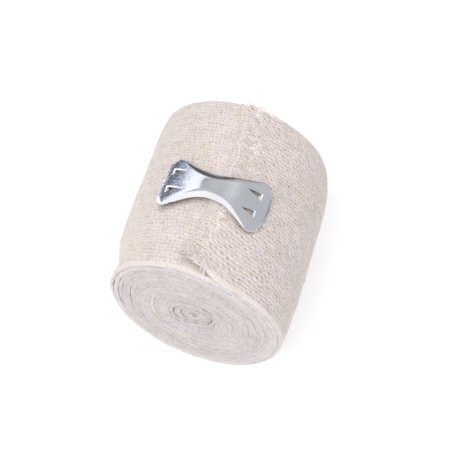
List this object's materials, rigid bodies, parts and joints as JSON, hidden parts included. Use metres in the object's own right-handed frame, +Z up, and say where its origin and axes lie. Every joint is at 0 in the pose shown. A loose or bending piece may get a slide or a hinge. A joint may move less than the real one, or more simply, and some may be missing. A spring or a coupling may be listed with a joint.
{
  "type": "crepe bandage roll with its clip",
  "caption": "Narrow crepe bandage wound into a roll, its folded free end held on top by a stamped metal stretch-bandage clip.",
  "frame": {"origin": "middle of the footprint, on the surface that the roll lies on", "axes": "+Z up, +Y along the roll's axis away from the end face that shows its turns, +X to the right of that face"},
  "size_m": [0.0507, 0.0536, 0.0517],
  "materials": {
    "crepe_cloth": "matt cream cotton crepe with a pebbled weave",
    "clip_metal": "bright stamped sheet, lightly scuffed"
  },
  "bodies": {
    "root": {"bandage_roll": "crepe_cloth", "clip": "clip_metal"}
  },
  "joints": []
}
